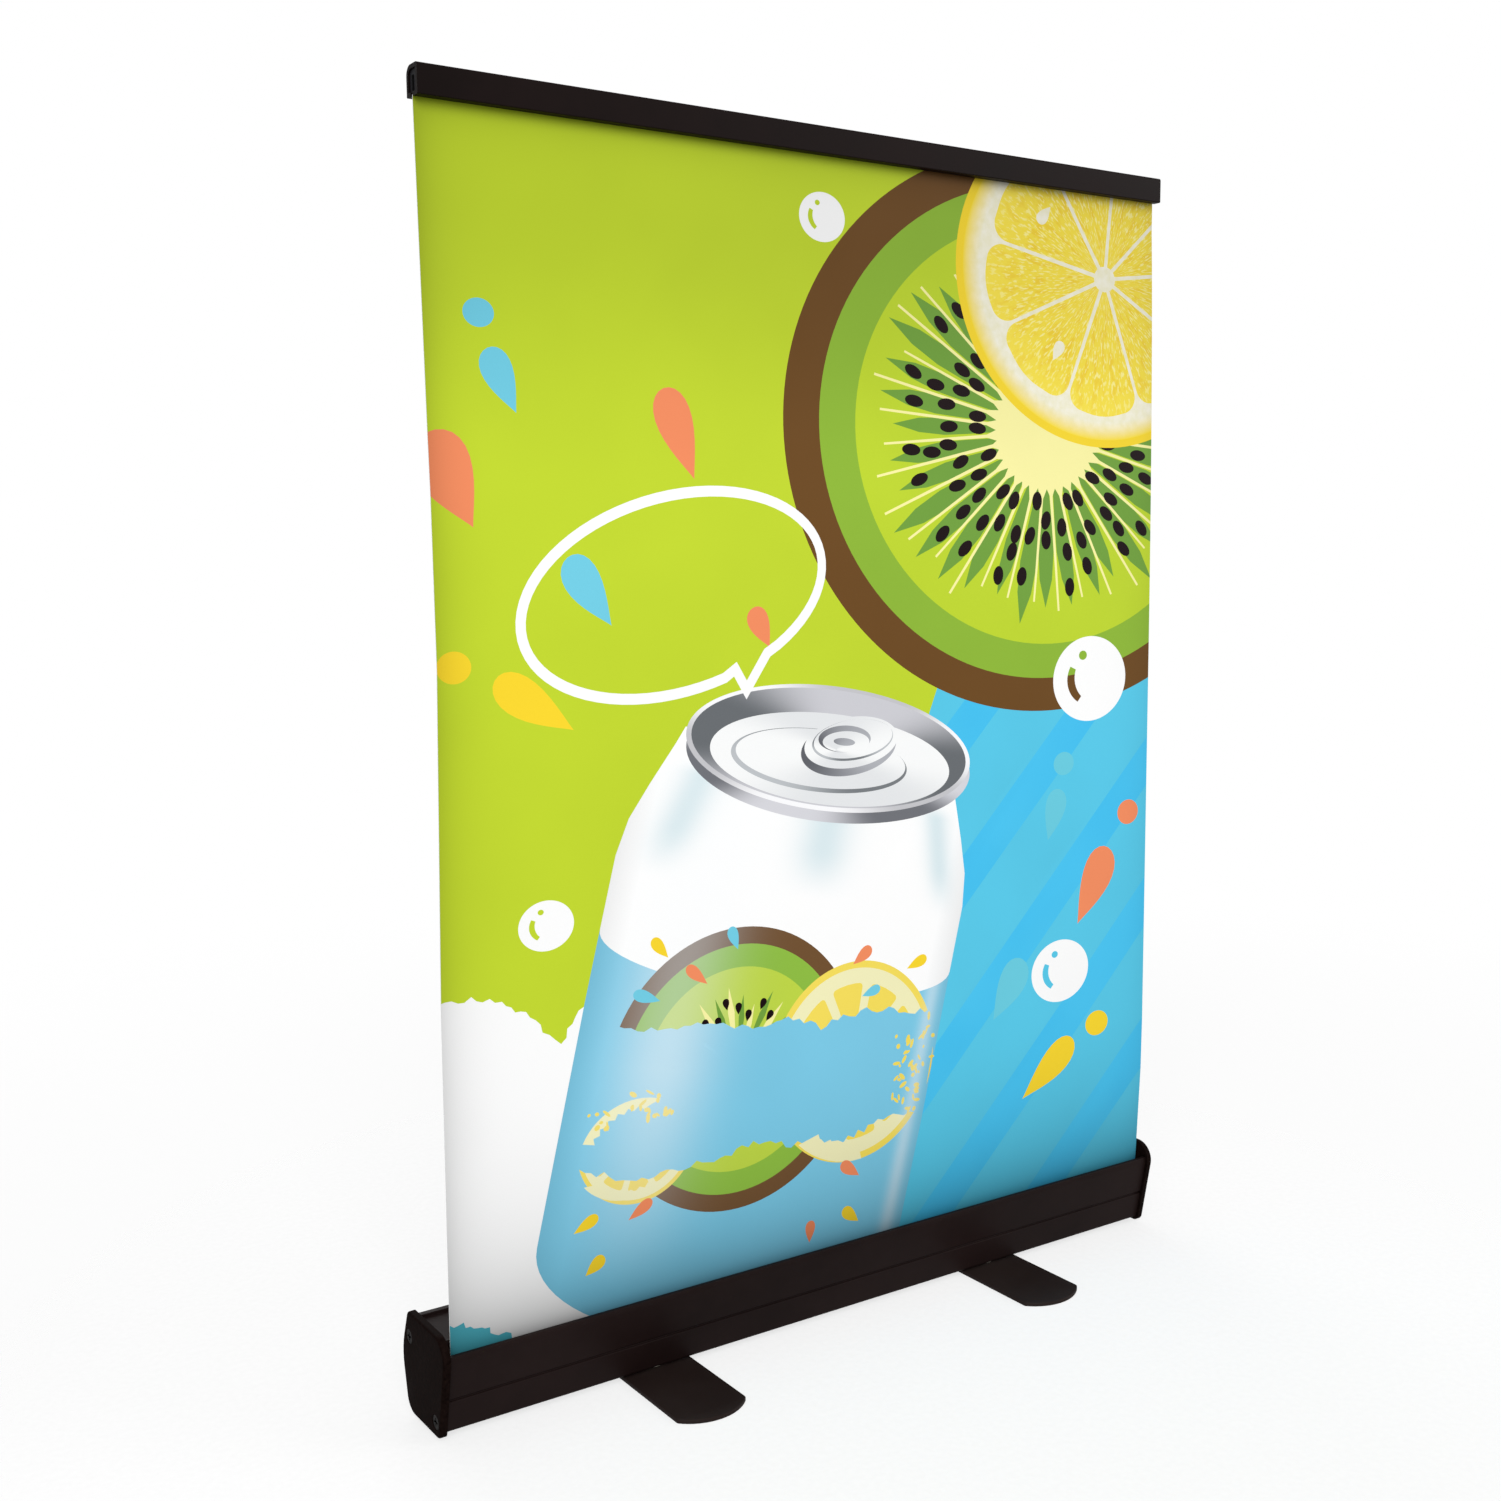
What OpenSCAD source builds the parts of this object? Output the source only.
// Tabletop roll-up banner stand for an A3 print: a sprung cassette on two swivel feet, the printed film, a clamp
// rail along its top edge and a three-section telescopic pole behind it.
// Millimetres. The origin is on the table under the middle of the cassette. +X runs to the right of someone who
// faces the print, +Y runs to the back and +Z up.

/* [Banner film] */
// Width of the printed film
film_w = 297; // [210:1:420]
// Thickness of the film
film_t = 0.3; // [0.2:0.05:0.4]
// Height of the clamp rail's lower edge above the table
rail_base = 399.5; // [300:0.5:480]

/* [Cassette] */
// Length of the cassette's extrusion
shell_len = 301; // [214:1:424]
// Wall of the extrusion
shell_wall = 1.4; // [1.2:0.1:1.6]
// How far the end caps stand proud of the extrusion
cap_proud = 1.2; // [0.8:0.1:1.4]
// Thickness of an end cap outside the extrusion
cap_t = 2.5; // [2:0.1:3]
// Rounding of an end cap's rim
cap_round = 0.8; // [0.4:0.1:1]
// Height of the front lip above the table
lip_z = 28.6; // [27:0.1:29.5]
// Height of the shadow groove in the front panel
groove_z = 13.1; // [9:0.1:20]

/* [Feet] */
// Distance between the two foot pivots
foot_span = 147; // [120:1:160]
// Length of a foot from tip to tip
foot_len = 94.6; // [80:0.2:120]
// Width of a foot
foot_w = 26; // [20:0.5:30]
// Thickness of a foot
foot_t = 1.5; // [1.5:0.1:1.8]
// Radius of a foot's round end
foot_end_r = 18; // [14:0.5:24]

/* [Clamp rail] */
// Depth of the rail from front to back
rail_d = 7.4; // [6.5:0.1:9]
// Height of the rail
rail_h = 8.8; // [8.6:0.1:12]
// Wall of the rail
rail_wall = 1.2; // [1:0.1:1.4]

/* [Pole] */
// Outer radius of the pole's lower tube
pole_r = 5; // [4.8:0.1:5.2]
// Step in radius from each tube to the next
pole_step = 1; // [0.9:0.05:1.1]
// Wall of the pole's tubes
pole_wall = 0.6; // [0.4:0.05:0.6]
// Overlap of two neighbouring tubes when the pole is out
pole_overlap = 20; // [15:1:24]

/* [Roller] */
// Outer radius of the roller's tube
roller_r = 6.5; // [6:0.1:7]
// Film and leader wound on the roller while the banner is out
wound_t = 0.9; // [0.5:0.1:1.2]
// Wire radius of the roller's spring
wire_r = 0.45; // [0.3:0.05:0.5]
// Turns of the roller's spring
spring_turns = 20; // [10:1:24]

/* [Hidden] */
$fn = 48;
arc_step = 8;      // degrees between the points of a rounded outline
gap = 0.3;         // between pieces that move past each other
running = 0.05;    // radial clearance of a shaft that turns or slides in its hole
past = 1;          // how far a cutting solid runs past the face it opens

// The end cap's outline seen from its end: y, z and corner radius, from the front bottom corner to the back
cap_corners = [
    [-10.9, 1.2, 2.5], [13, 1.2, 6], [17.2, 20.5, 20], [12, 34.6, 2], [-17.2, 34.2, 7]
];
film_y = -10.7;                  // the print hangs in this plane
end_x = shell_len / 2;           // end of the extrusion
floor_z = 1.2 + cap_proud;       // underside of the extrusion

back_lip = [9.7, 31.9];          // middle of the rolled edge at the back
panel_lip = [-6.3, 29.5];        // middle of the rolled edge beside the film
lip_r = 1;
panel_t = 1.2;
groove = [0.8, 1];               // depth and height
port_r = 2.3;                    // screw ports, one low at the front and one high at the back
port_hole_r = 1.25;
screw_ports = [[-8, 6], [11, 26.4]];
screw_head_r = 2.3;
screw_head_h = 1.2;
screw_len = 12;
recess_w = 0.6;
recess_h = 0.7;
cap_rib_len = 4;
cap_rib_t = 1.2;
cap_fit = 0.15;                  // gap between a cap's rib and the extrusion

roller_y = 0.4;
roller_z = 15.4;
roller_wall = 1;
roller_len = film_w - 1;
roll_r = roller_r + wound_t;
roll_room = 10.2;                // the caps' ribs stay out of this radius
boss_r = 4.5;
boss_len = 1.2;
plug_len = 12;
flange_r = 6.2;
flange_len = 0.7;
pin_r = 1.5;
arbor_r = 2;
arbor_square = 3.2;
arbor_in = 24;                   // inner end of the arbor
anchor_x = 10;
anchor_len = 10;
collar_x = 124;
collar_len = 6;
collar_r = 4;
coil_r = 3.2;
spring_x = 28;
spring_len = 92;
segments = 10;                   // straight pieces in one turn of the spring
wire_sides = 6;

rivet_r = 2;
rivet_head_r = 4;
rivet_head_h = 1.1;
rivet_tail_r = 3.4;
rivet_tail_h = 1.1;
rivet_sunk = 0.15;               // the head stays this far inside the foot's underside
washer_r = 8;
washer_lift = 0.15;

pole_y = 1.7;
socket_base = 24.4;
socket_wall = 1.6;
socket_floor = 1.5;
socket_outer_r = pole_r + running + socket_wall;
socket_flange_r = 9;
socket_top = 38;
pole_bottom = socket_base + socket_floor;
pole_top = rail_base - 1;        // shoulder of the pole's tip
tip_web = 1.2;                   // plastic over the end of the upper tube
section = (pole_top - tip_web - pole_bottom + 2 * pole_overlap) / 3;
middle_bottom = pole_bottom + section - pole_overlap;
upper_bottom = middle_bottom + section - pole_overlap;
collar_wall = 0.9;
collar_h = 10;
collar_grip = 6;                 // part of a collar that wraps its tube
bush_h = 8;
base_plug_h = 7;
tip_r = 3.8;
tip_h = 6;
tip_pin_r = 1.95;
tip_pin_h = 3.4;

rail_len = film_w + 0.4;
rail_y = film_y - 4;             // front face
rail_slot = 1.3;                 // gap for the film between the rail's two edges
film_top = rail_base + 5.7;
film_base = 27;
rail_plug_len = 8;
clamp_rod_r = 0.85;
clamp_rod_z = rail_base + 2.1;
hook_w = 16;
hook_plate_t = 1.4;
hook_plate_h = 6.6;
hook_arm_z = rail_base - 0.6;
hook_arm_h = 3.2;
hook_rivet_r = 1;
hook_rivet_x = 6;
hook_rivet_z = rail_base + 4.4;
hook_rivet_head_r = 1.3;

// Plane geometry
function xy(p) = [p[0], p[1]];
function unit(v) = v / norm(v);
function left_of(v) = [-v[1], v[0]];
function around(c, r, a) = c + r * [cos(a), sin(a)];

// The points of the arc of radius r that rounds corner b between a and c
function corner_arc(a, b, c, r) =
    let (
        u = unit(a - b), w = unit(c - b), half = acos(u * w) / 2,
        centre = b + unit(u + w) * r / sin(half),
        from = b + u * r / tan(half) - centre,
        to = b + w * r / tan(half) - centre,
        start = atan2(from[1], from[0]),
        turn = (atan2(to[1], to[0]) - start + 540) % 360 - 180,
        steps = max(1, ceil(abs(turn) / arc_step))
    )
    r <= 0 ? [b] : [for (i = [0:steps]) around(centre, r, start + turn * i / steps)];

// A closed path of [y, z, radius] corners with its corners rounded
function rounded(path) =
    let (n = len(path))
    [for (i = [0:n - 1])
        each corner_arc(xy(path[(i + n - 1) % n]), xy(path[i]), xy(path[(i + 1) % n]), path[i][2])];

// The same corners, moved inwards by d on a path that runs anticlockwise
function inset(path, d) =
    let (n = len(path))
    [for (i = [0:n - 1])
        let (
            b = xy(path[i]),
            p = left_of(unit(b - xy(path[(i + n - 1) % n]))),
            q = left_of(unit(xy(path[(i + 1) % n]) - b)),
            m = (p + q) * d / (1 + p * q)
        )
        [b[0] + m[0], b[1] + m[1], max(path[i][2] - d, 0.2)]];

// The four corners of a straight strip of thickness t between two points
function strip(a, b, t) =
    let (side = left_of(unit(b - a)) * t / 2)
    [a - side, b - side, b + side, a + side];

// Extrudes a [y, z] outline along X from x0
module along_x(x0, length) {
    translate([x0, 0, 0]) rotate([90, 0, 90]) linear_extrude(length) children();
}

// A cylinder or cone along X
module rod_x(x0, length, y, z, r, r_end) {
    translate([x0, y, z]) rotate([0, 90, 0]) cylinder(h = length, r1 = r, r2 = is_undef(r_end) ? r : r_end);
}

// A cylinder or cone along Z
module rod_z(x, y, z0, height, r, r_end) {
    translate([x, y, z0]) cylinder(h = height, r1 = r, r2 = is_undef(r_end) ? r : r_end);
}

// A cylinder along Y
module rod_y(x, y0, z, length, r) {
    translate([x, y0, z]) rotate([-90, 0, 0]) cylinder(h = length, r = r);
}

module outline(d) {
    polygon(rounded(inset(cap_corners, d)));
}

// Cassette
module shell_profile() {
    difference() {
        union() {
            difference() {
                outline(cap_proud);
                outline(cap_proud + shell_wall);
                // the open top, from the front lip to the back lip
                translate([-30, lip_z]) square([30 + back_lip[0] - lip_r, 20]);
            }
            polygon(strip(back_lip, panel_lip, panel_t));
            for (lip = [back_lip, panel_lip]) translate(lip) circle(r = lip_r);
            intersection() {
                for (port = screw_ports) translate(port) circle(r = port_r);
                outline(cap_proud);
            }
        }
        for (port = screw_ports) translate(port) circle(r = port_hole_r);
        // shadow groove along the front
        intersection() {
            translate([-30, groove_z]) square([30, groove[1]]);
            difference() {
                outline(cap_proud - past);
                outline(cap_proud + groove[0]);
            }
        }
    }
}

module cassette_shell() {
    color("#1b1717") difference() {
        along_x(-end_x, shell_len) shell_profile();
        for (side = [-1, 1]) rod_z(side * foot_span / 2, 0, 0, 8, rivet_r);
        rod_z(0, pole_y, 28, 8, socket_outer_r);
    }
}

// One end cap, drawn for the +X end: a plate with a rounded rim and a locating rib that follows the extrusion
module end_cap(square_socket) {
    difference() {
        union() {
            hull() for (i = [0:3])
                let (a = i * 30)
                along_x(end_x, cap_t - cap_round * (1 - sin(a))) outline(cap_round * (1 - cos(a)));
            difference() {
                along_x(end_x - cap_rib_len, cap_rib_len) difference() {
                    outline(cap_proud + shell_wall + cap_fit);
                    outline(cap_proud + shell_wall + cap_fit + cap_rib_t);
                    translate([-30, panel_lip[1] - 2.2]) square([60, 20]);
                    for (port = screw_ports) translate(port) circle(r = port_r + cap_fit);
                }
                rod_x(end_x - cap_rib_len - past, cap_rib_len + past, roller_y, roller_z, roll_room);
            }
            rod_x(end_x - boss_len, boss_len, roller_y, roller_z, boss_r);
        }
        if (square_socket)
            translate([end_x - boss_len - past, roller_y - arbor_square / 2, roller_z - arbor_square / 2])
                cube([boss_len + past + cap_t - 1, arbor_square, arbor_square]);
        else
            rod_x(end_x - boss_len - past, boss_len + past + cap_t - 1, roller_y, roller_z, pin_r);
        for (port = screw_ports) {
            rod_x(end_x - past, cap_t + 2 * past, port[0], port[1], port_hole_r + 0.2);
            rod_x(end_x + cap_t - screw_head_h - 0.2, screw_head_h + 0.2, port[0], port[1],
                port_hole_r + 0.2, screw_head_r + 0.2);
        }
    }
}

module left_end_cap() {
    color("#1a1414") mirror([1, 0, 0]) end_cap(false);
}

module right_end_cap() {
    color("#1a1414") end_cap(true);
}

module cap_screw(port) {
    head_x = end_x + cap_t - screw_head_h - 0.2;
    difference() {
        union() {
            rod_x(head_x, screw_head_h, port[0], port[1], port_hole_r, screw_head_r);
            rod_x(head_x - screw_len, screw_len, port[0], port[1], port_hole_r);
        }
        for (turn = [0, 90])
            translate([head_x + screw_head_h - recess_h, port[0], port[1]]) rotate([turn, 0, 0])
                translate([0, -recess_w / 2, -screw_head_r * 0.6])
                    cube([recess_h + past, recess_w, screw_head_r * 1.2]);
    }
}

module end_cap_screws() {
    color("#2a2626") for (side = [0, 1]) mirror([side, 0, 0]) for (port = screw_ports) cap_screw(port);
}

// Feet
module foot() {
    side_y = foot_len / 2 - foot_end_r + sqrt(pow(foot_end_r, 2) - pow(foot_w / 2, 2));
    sweep = asin(foot_w / 2 / foot_end_r);
    inner = sweep * 0.8;
    end_centre = [0, foot_len / 2 - foot_end_r];
    front = [
        for (a = [-inner:arc_step / 2:inner]) concat(around(end_centre, foot_end_r, 90 - a), [0])
    ];
    half = concat([[-foot_w / 2, side_y, 2]], [for (p = front) p], [[foot_w / 2, side_y, 2]]);
    ring = concat(half, [for (p = half) [-p[0], -p[1], p[2]]]);
    difference() {
        linear_extrude(foot_t) polygon(rounded(ring));
        rod_z(0, 0, -past, foot_t + 2 * past, rivet_r + running);
        rod_z(0, 0, -0.01, rivet_head_h + gap, rivet_head_r + gap, rivet_r + running);
    }
}

module left_foot() {
    color("#1b1717") translate([-foot_span / 2, 0, 0]) foot();
}

module right_foot() {
    color("#1b1717") translate([foot_span / 2, 0, 0]) foot();
}

module foot_rivets() {
    color("#2c2c2e") for (side = [-1, 1]) translate([side * foot_span / 2, 0, 0]) {
        rod_z(0, 0, rivet_sunk, rivet_head_h, rivet_head_r, rivet_r);
        rod_z(0, 0, rivet_sunk, floor_z + shell_wall, rivet_r);
        rod_z(0, 0, floor_z + shell_wall, rivet_tail_h, rivet_tail_r);
    }
}

module foot_washers() {
    color("#d9d6cc") for (side = [-1, 1]) translate([side * foot_span / 2, 0, 0]) difference() {
        rod_z(0, 0, foot_t + washer_lift, floor_z - foot_t - washer_lift, washer_r);
        rod_z(0, 0, foot_t, floor_z, rivet_r);
    }
}

// Roller
module idle_pin() {
    color("silver") rod_x(-end_x - cap_t + 1, plug_len + cap_t, roller_y, roller_z, pin_r);
}

module spring_arbor() {
    square_x = end_x - boss_len;
    color("silver") {
        rod_x(arbor_in, square_x - arbor_in, roller_y, roller_z, arbor_r);
        translate([square_x, roller_y - arbor_square / 2, roller_z - arbor_square / 2])
            cube([boss_len + cap_t - 1, arbor_square, arbor_square]);
    }
}

module spring_collar() {
    color("#d9d6cc") difference() {
        rod_x(collar_x, collar_len, roller_y, roller_z, collar_r);
        rod_x(collar_x - past, collar_len + 2 * past, roller_y, roller_z, arbor_r);
    }
}

// The torsion spring, a wire swept along a helix round the arbor
module roller_spring() {
    rings = spring_turns * segments;
    points = [for (i = [0:rings], k = [0:wire_sides - 1])
        let (
            turn = 360 * i / segments, round = 360 * k / wire_sides,
            r = coil_r + wire_r * cos(round)
        )
        [spring_x + spring_len * i / rings + wire_r * sin(round), r * cos(turn), r * sin(turn)]];
    sides = [for (i = [0:rings - 1], k = [0:wire_sides - 1])
        let (next = (k + 1) % wire_sides, a = i * wire_sides, b = a + wire_sides)
        each [[a + k, b + k, b + next], [a + k, b + next, a + next]]];
    first = [for (k = [0:wire_sides - 1]) k];
    last = [for (k = [wire_sides - 1:-1:0]) rings * wire_sides + k];
    color("#8f9094") translate([0, roller_y, roller_z])
        polyhedron(points, concat(sides, [first, last]), convexity = 10);
}

module roller_tube() {
    color("#b9bbbe") difference() {
        rod_x(-roller_len / 2, roller_len, roller_y, roller_z, roller_r);
        rod_x(-roller_len / 2 - past, roller_len + 2 * past, roller_y, roller_z, roller_r - roller_wall);
    }
}

// A plug for the roller's +X end with a flange outside the tube
module roller_plug(bore) {
    difference() {
        union() {
            rod_x(roller_len / 2 - plug_len, plug_len, roller_y, roller_z, roller_r - roller_wall);
            rod_x(roller_len / 2, flange_len, roller_y, roller_z, flange_r);
        }
        rod_x(roller_len / 2 - plug_len - past, plug_len + 3, roller_y, roller_z, bore);
    }
}

module idle_plug() {
    color("#e4e2da") mirror([1, 0, 0]) roller_plug(pin_r + running);
}

module spring_plug() {
    color("#e4e2da") roller_plug(arbor_r + running);
}

module spring_anchor() {
    color("#e4e2da") rod_x(anchor_x, anchor_len, roller_y, roller_z, roller_r - roller_wall);
}

module film_roll() {
    color("#eef1f2") difference() {
        rod_x(-film_w / 2, film_w, roller_y, roller_z, roll_r);
        rod_x(-film_w / 2 - past, film_w + 2 * past, roller_y, roller_z, roller_r);
    }
}

// The film's way down from the slot to the front of the roll, which it meets along a tangent
module film_leader() {
    axis = [roller_y, roller_z];
    top = [film_y, film_base];
    reach = roll_r + gap + film_t / 2;
    away = top - axis;
    touch = around(axis, reach, atan2(away[1], away[0]) + acos(reach / norm(away)));
    color("#eef1f2") along_x(-film_w / 2, film_w) intersection() {
        polygon(strip(top + unit(top - touch) * 2, touch, film_t));
        translate([-30, 0]) square([60, film_base]);
    }
}

module banner_film() {
    color("#8fc7df") translate([-film_w / 2, film_y - film_t / 2, film_base])
        cube([film_w, film_t, film_top - film_base]);
}

// Clamp rail
rail_corners = [
    [rail_y, rail_base, 0.4], [rail_y + rail_d, rail_base, 0.5],
    [rail_y + rail_d, rail_base + rail_h, 2.8], [rail_y, rail_base + rail_h, 0.9]
];

module rail_outline(d) {
    polygon(rounded(inset(rail_corners, d)));
}

module header_rail() {
    color("#1b1717") difference() {
        along_x(-rail_len / 2, rail_len) difference() {
            rail_outline(0);
            rail_outline(rail_wall);
            translate([film_y - rail_slot / 2, rail_base - past]) square([rail_slot, rail_wall + 2 * past]);
        }
        for (side = [-1, 1])
            rod_y(side * hook_rivet_x, rail_y + rail_d - 2 * rail_wall, hook_rivet_z, 3 * rail_wall, hook_rivet_r);
    }
}

module film_clamp_rod() {
    rod_len = rail_len - 2 * rail_plug_len - 4;
    color("#3a3a3c")
        rod_x(-rod_len / 2, rod_len, rail_y + rail_d - rail_wall - clamp_rod_r, clamp_rod_z, clamp_rod_r);
}

// An insert for the +X end of the rail, slit for the film
module rail_plug() {
    along_x(rail_len / 2 - rail_plug_len, rail_plug_len - 0.6) difference() {
        rail_outline(rail_wall + 0.05);
        translate([film_y - rail_slot / 2, rail_base]) square([rail_slot, film_top + gap - rail_base]);
    }
}

module left_rail_plug() {
    color("#57575a") mirror([1, 0, 0]) rail_plug();
}

module right_rail_plug() {
    color("#57575a") rail_plug();
}

// The bracket behind the rail that the pole's tip stands in
module pole_hook() {
    back_y = rail_y + rail_d;
    color("#1a1414") difference() {
        union() {
            translate([-hook_w / 2, back_y, hook_arm_z]) cube([hook_w, hook_plate_t, hook_plate_h]);
            translate([-hook_w / 2, back_y, hook_arm_z]) cube([hook_w, pole_y - back_y, hook_arm_h]);
            rod_z(0, pole_y, hook_arm_z, hook_arm_h, tip_pin_r + 3);
        }
        rod_z(0, pole_y, hook_arm_z - past, hook_arm_h + 2 * past, tip_pin_r + running);
        for (side = [-1, 1]) rod_y(side * hook_rivet_x, back_y - past, hook_rivet_z, 4, hook_rivet_r);
    }
}

module hook_rivets() {
    inside = rail_y + rail_d - rail_wall;
    color("silver") for (side = [-1, 1]) {
        rod_y(side * hook_rivet_x, inside - 0.6, hook_rivet_z, 0.6, hook_rivet_head_r);
        rod_y(side * hook_rivet_x, inside, hook_rivet_z, rail_wall + hook_plate_t, hook_rivet_r);
        rod_y(side * hook_rivet_x, inside + rail_wall + hook_plate_t, hook_rivet_z, 0.6, hook_rivet_head_r);
    }
}

// Pole
module pole_socket() {
    color("#1a1414") difference() {
        union() {
            rod_z(0, pole_y, socket_base, socket_top - socket_base, socket_outer_r);
            difference() {
                intersection() {
                    rod_z(0, pole_y, panel_lip[1] - 1, 6, socket_flange_r);
                    // the flange stays between the two rolled edges
                    translate([-20, panel_lip[0] + lip_r + 0.1, 0])
                        cube([40, back_lip[0] - panel_lip[0] - 2 * lip_r - 0.2, 60]);
                }
                // the flange sits on the sloping panel
                along_x(-20, 40) polygon(strip(
                    back_lip + 8 * unit(back_lip - panel_lip) - [0, 5 - panel_t / 2],
                    panel_lip - 8 * unit(back_lip - panel_lip) - [0, 5 - panel_t / 2], 10));
            }
        }
        rod_z(0, pole_y, pole_bottom, socket_top, pole_r + running);
    }
}

module pole_tube(z0, r) {
    color("#c3c5c9") difference() {
        rod_z(0, pole_y, z0, section, r);
        rod_z(0, pole_y, z0 - past, section + 2 * past, r - pole_wall);
    }
}

// A collar round a tube's upper end that guides the next tube in
module pole_collar(tube_bottom, r) {
    z0 = tube_bottom + section - collar_grip;
    color("#1a1414") difference() {
        rod_z(0, pole_y, z0, collar_h, r + collar_wall);
        rod_z(0, pole_y, z0 - past, collar_grip + past, r);
        rod_z(0, pole_y, z0, collar_h + past, r - pole_step + running);
    }
}

// A bush on a tube's lower end that keeps it from pulling out of the tube below
module pole_bush(tube_bottom, r) {
    outer_bore = r + pole_step - pole_wall;
    color("#e4e2da") difference() {
        union() {
            rod_z(0, pole_y, tube_bottom - 2, 2, outer_bore - 2 * running);
            rod_z(0, pole_y, tube_bottom, bush_h, r - pole_wall);
        }
        rod_z(0, pole_y, tube_bottom - 2 - past, bush_h + 2 + 2 * past, r - pole_wall - 1);
    }
}

module pole_base_plug() {
    color("#1a1414") rod_z(0, pole_y, pole_bottom, base_plug_h, pole_r - pole_wall);
}

module pole_lower_tube() {
    pole_tube(pole_bottom, pole_r);
}

module pole_lower_collar() {
    pole_collar(pole_bottom, pole_r);
}

module pole_middle_tube() {
    pole_tube(middle_bottom, pole_r - pole_step);
}

module pole_middle_collar() {
    pole_collar(middle_bottom, pole_r - pole_step);
}

module pole_middle_bush() {
    pole_bush(middle_bottom, pole_r - pole_step);
}

module pole_upper_tube() {
    pole_tube(upper_bottom, pole_r - 2 * pole_step);
}

module pole_upper_bush() {
    pole_bush(upper_bottom, pole_r - 2 * pole_step);
}

module pole_tip() {
    r = pole_r - 2 * pole_step;
    color("#1a1414") difference() {
        union() {
            rod_z(0, pole_y, pole_top - tip_h, tip_h, tip_r);
            rod_z(0, pole_y, pole_top, tip_pin_h, tip_pin_r);
        }
        rod_z(0, pole_y, pole_top - tip_h - past, tip_h + past - tip_web, r);
    }
}

cassette_shell();
left_end_cap();
right_end_cap();
end_cap_screws();
left_foot();
right_foot();
foot_rivets();
foot_washers();
pole_socket();
idle_pin();
spring_arbor();
spring_collar();
roller_spring();
roller_tube();
idle_plug();
spring_plug();
spring_anchor();
film_roll();
film_leader();
banner_film();
header_rail();
film_clamp_rod();
left_rail_plug();
right_rail_plug();
pole_hook();
hook_rivets();
pole_base_plug();
pole_lower_tube();
pole_lower_collar();
pole_middle_tube();
pole_middle_collar();
pole_middle_bush();
pole_upper_tube();
pole_upper_bush();
pole_tip();
